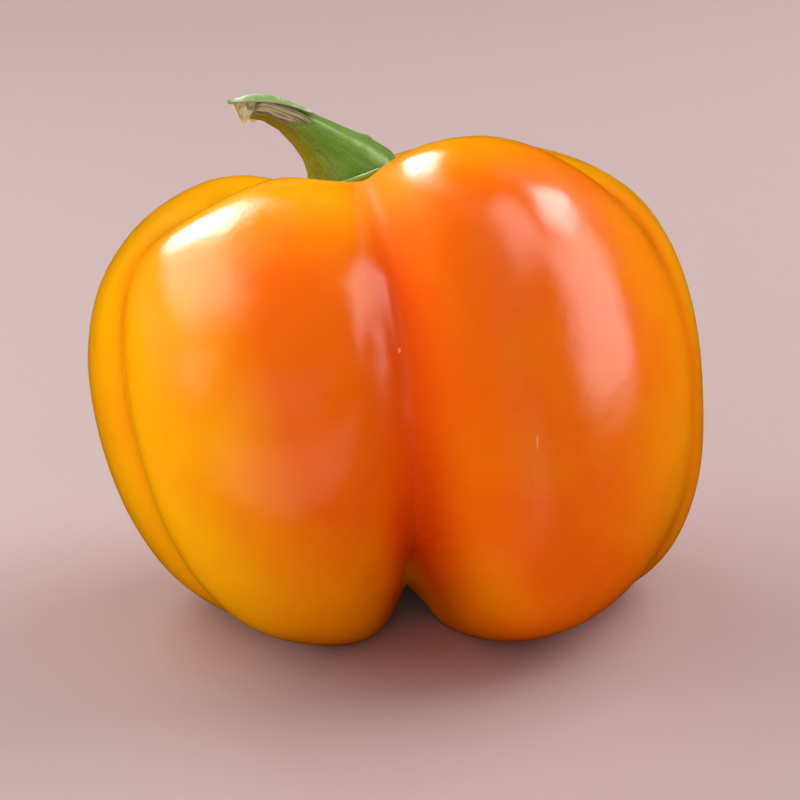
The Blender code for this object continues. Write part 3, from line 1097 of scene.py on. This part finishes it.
def build_fibres(green):
    """Dry strands that lie along the torn side, under the lid. Every third one is dark."""
    bm = bmesh.new()
    grain, tone = vertex_layers(bm, "tone")
    for strand in range(FIBRES):
        degrees = mix(*FIBRE_SIDE, (strand + 0.5) / FIBRES)
        first = torn_start(degrees, FIBRE_SLANT) + FIBRE_START
        last = FIBRE_END + 0.25 * noise.noise(Vector((strand * 3.1, 0, 0)))
        shade = FIBRE_TONES[1 if strand % 3 else 0] + 0.5 * noise.noise(Vector((strand * 7.7, 5, 0)))

        def set_vertex(vert, ring, turn):
            along = ring / (FIBRE_RINGS - 1)
            station = mix(first, last, along)
            sway = FIBRE_SWAY * noise.noise(Vector((along * 4, strand * 0.5, 0)))
            lift = FIBRE_WAVE * noise.noise(Vector((along * 4, strand, 3))) - FIBRE_DEPTH
            reach = FIBRE_RADIUS * mix(0.25, 1, min(along * 5, (1 - along) * 5, 1))
            vert.co = stem_point(station, degrees + sway, lift) + out_of_stem(station, 360 * turn) * reach
            vert[grain] = Vector((math.cos(math.tau * turn), strand, along))
            vert[tone] = clamp(shade)

        sweep(bm, FIBRE_RINGS, FIBRE_SIDES, set_vertex)
    straw = make_material("pepper_fibres", fibre_surface, green)
    finish_object("stem_fibres", bm, straw, "stem", 1)


def build_curl(green):
    """The thin strip under the lid, curled open to the front, with a torn lower edge."""
    bm = bmesh.new()
    bmesh.ops.create_grid(bm, x_segments=CURL_COLUMNS, y_segments=CURL_ROWS, size=0.5)
    grain, edge = vertex_layers(bm, "edge")
    for vert in bm.verts:
        along, around = vert.co.x + 0.5, vert.co.y + 0.5
        angle = math.radians(mix(*CURL_TURN, around))
        crumple = CURL_CRUMPLE * noise.noise(Vector((along * 12, around * 5, 0)))
        wide = mix(*CURL_REACH, along**3)
        high = mix(*CURL_TOP_REACH, along**4)
        down = mix(high, along_stops(CURL_HANG, along), smooth_step(0.2, 0.9, around))
        out = Vector((0, math.cos(angle) * (wide + crumple), math.sin(angle) * (down + crumple)))
        vert.co = CURL_FROM.lerp(CURL_TO, along) + out
        vert[grain] = Vector((along * 0.6, around * 3, 0))
        vert[edge] = 0.8 * smooth_step(0.86, 1.0, around) + 0.6 * smooth_step(0.88, 1.0, along)
    pith = make_material("pepper_curl", curl_surface, green)
    piece = finish_object("stem_curl", bm, pith, "stem")
    wall = piece.modifiers.new("Wall", "SOLIDIFY")
    wall.thickness = CURL_WALL * MM
    wall.offset = 0
    apply_modifiers(piece)


# ---- the stage


def stand(thing, azimuth, elevation, distance, roll=0.0):
    """Stands a light or camera that looks at the fruit. Azimuth 0 is the front, 90 the right."""
    a, e = math.radians(azimuth), math.radians(elevation)
    out = Vector((math.sin(a) * math.cos(e), -math.cos(a) * math.cos(e), math.sin(e)))
    thing.location = CAMERA_TARGET * MM + out * distance
    thing.rotation_mode = "QUATERNION"
    thing.rotation_quaternion = out.to_track_quat("Z", "Y") @ Quaternion((0, 0, 1), math.radians(roll))
    bpy.context.scene.collection.objects.link(thing)


def floor_surface(tree, place, stage):
    return {"Base Color": (*stage.floor_colour, 1.0), "Roughness": 0.6}


def build_floor(stage):
    bm = bmesh.new()
    bmesh.ops.create_grid(bm, x_segments=1, y_segments=1, size=stage.floor_size / 2)
    floor = new_object("floor", bm, make_material("stage_floor", floor_surface, stage))
    floor.visible_glossy = False


def fade_edges(data):
    """Makes a light fainter towards the edges of its own rectangle."""
    data.use_nodes = True
    tree = data.node_tree
    emission = next(node for node in tree.nodes if node.type == "EMISSION")
    place = add_node(tree, "ShaderNodeNewGeometry", "Place on the light").outputs["Parametric"]
    parts = add_node(tree, "ShaderNodeSeparateXYZ", "Across and up", {"Vector": place})
    shares = []
    for axis in range(2):
        inward = calculate(tree, "From the edge", "PINGPONG", parts.outputs[axis], 0.5)
        shares.append(remap(tree, "Fade", inward, (0, SOFT_EDGE), smooth=True))
    connect(tree, emission, {"Strength": calculate(tree, "Both", "MULTIPLY", *shares)})


def build_lights():
    """Panels that are only mirrored, and fills that only light what is matt."""
    for box in PANELS + FILLS:
        data = bpy.data.lights.new(box.name, "AREA")
        data.shape = "RECTANGLE"
        data.size = box.width * MM
        data.size_y = box.height * MM
        data.energy = box.glow * math.pi * data.size * data.size_y
        light = bpy.data.objects.new(box.name, data)
        if box in PANELS:
            fade_edges(data)
        light.visible_camera = False
        light.visible_glossy = box in PANELS
        light.visible_diffuse = box in FILLS
        stand(light, box.azimuth, box.elevation, box.distance * MM, box.roll)


def build_room(stage):
    world = bpy.context.scene.world or bpy.data.worlds.new("room")
    bpy.context.scene.world = world
    world.use_nodes = True
    background = next(node for node in world.node_tree.nodes if node.type == "BACKGROUND")
    background.inputs["Color"].default_value = (*stage.room_colour, 1.0)
    background.inputs["Strength"].default_value = stage.room_glow
    world.cycles_visibility.glossy = False


def build_camera(stage):
    data = bpy.data.cameras.new("camera")
    data.sensor_width = SENSOR
    data.lens = stage.lens
    data.dof.use_dof = False
    camera = bpy.data.objects.new("camera", data)
    stand(camera, 0, math.degrees(stage.height), stage.distance)
    bpy.context.scene.camera = camera


# ---- operators


class PEPPER_OT_fruit(bpy.types.Operator):
    """Build the orange fruit with its four lobes"""

    bl_idname = "pepper.fruit"
    bl_label = "Fruit"

    def execute(self, context):
        build_fruit(context.scene.bell_pepper.skin)
        return {"FINISHED"}


class PEPPER_OT_calyx(bpy.types.Operator):
    """Build the green calyx in the dimple, on a fruit that is already there"""

    bl_idname = "pepper.calyx"
    bl_label = "Calyx"

    def execute(self, context):
        build_calyx(context.scene.bell_pepper.green)
        return {"FINISHED"}


class PEPPER_OT_stem(bpy.types.Operator):
    """Build the fluted green stem"""

    bl_idname = "pepper.stem"
    bl_label = "Stem"

    def execute(self, context):
        build_stem(context.scene.bell_pepper.green)
        return {"FINISHED"}


class PEPPER_OT_torn_end(bpy.types.Operator):
    """Build the lid of skin, the fibres and the curled strip at the stem's torn end"""

    bl_idname = "pepper.torn_end"
    bl_label = "Torn End"

    def execute(self, context):
        green = context.scene.bell_pepper.green
        build_lid(green)
        build_fibres(green)
        build_curl(green)
        return {"FINISHED"}


class PEPPER_OT_stage(bpy.types.Operator):
    """Build the pale floor, the soft studio light and the camera"""

    bl_idname = "pepper.stage"
    bl_label = "Stage"

    def execute(self, context):
        stage = context.scene.bell_pepper.stage
        build_floor(stage)
        build_lights()
        build_room(stage)
        build_camera(stage)
        context.scene.view_settings.view_transform = "Standard"
        return {"FINISHED"}


class PEPPER_PT_sidebar(bpy.types.Panel):
    """The bell pepper's settings and pieces"""

    bl_label = "Bell Pepper"
    bl_idname = "PEPPER_PT_sidebar"
    bl_space_type = "VIEW_3D"
    bl_region_type = "UI"
    bl_category = "Bell Pepper"

    def draw(self, context):
        layout = self.layout
        settings = context.scene.bell_pepper
        for part in settings.__annotations__:
            group = getattr(settings, part)
            box = layout.box()
            box.label(text=part.title())
            for name in group.__annotations__:
                box.prop(group, name)
        for operator in PEPPER_OPERATORS:
            layout.operator(operator.bl_idname)


PEPPER_OPERATORS = (PEPPER_OT_fruit, PEPPER_OT_calyx, PEPPER_OT_stem, PEPPER_OT_torn_end, PEPPER_OT_stage)
PEPPER_CLASSES = (
    PepperSkinSettings,
    PepperGreenSettings,
    PepperStageSettings,
    PepperSettings,
    *PEPPER_OPERATORS,
    PEPPER_PT_sidebar,
)


def register():
    for item in PEPPER_CLASSES:
        bpy.utils.register_class(item)
    bpy.types.Scene.bell_pepper = PointerProperty(type=PepperSettings)


def unregister():
    del bpy.types.Scene.bell_pepper
    for item in reversed(PEPPER_CLASSES):
        bpy.utils.unregister_class(item)


def main():
    register()
    bpy.ops.pepper.fruit()
    bpy.ops.pepper.calyx()
    bpy.ops.pepper.stem()
    bpy.ops.pepper.torn_end()
    bpy.ops.pepper.stage()


if __name__ == "__main__":
    main()
